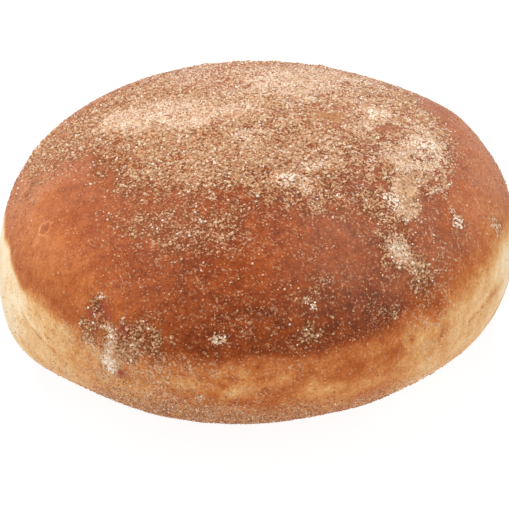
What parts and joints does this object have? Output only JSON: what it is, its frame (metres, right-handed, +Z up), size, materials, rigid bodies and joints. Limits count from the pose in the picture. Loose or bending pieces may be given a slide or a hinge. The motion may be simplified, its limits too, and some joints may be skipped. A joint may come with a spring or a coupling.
{
  "type": "filled doughnut",
  "caption": "Round uncut filled doughnut with a browned dome, a pale waist, a flat base to rest on and coarse sugar caked on its crown.",
  "frame": {"origin": "middle of the doughnut's box at the flat base that it rests on", "axes": "+Z up through the crown, -Y towards the front that the picture shows, +X to the picture's right"},
  "size_m": [0.0906, 0.0896, 0.0449],
  "materials": {
    "crust": "browned fried crust, soft sheen",
    "sugar": "spiced caster sugar grains"
  },
  "bodies": {
    "root": {"doughnut": "crust"}
  },
  "joints": []
}
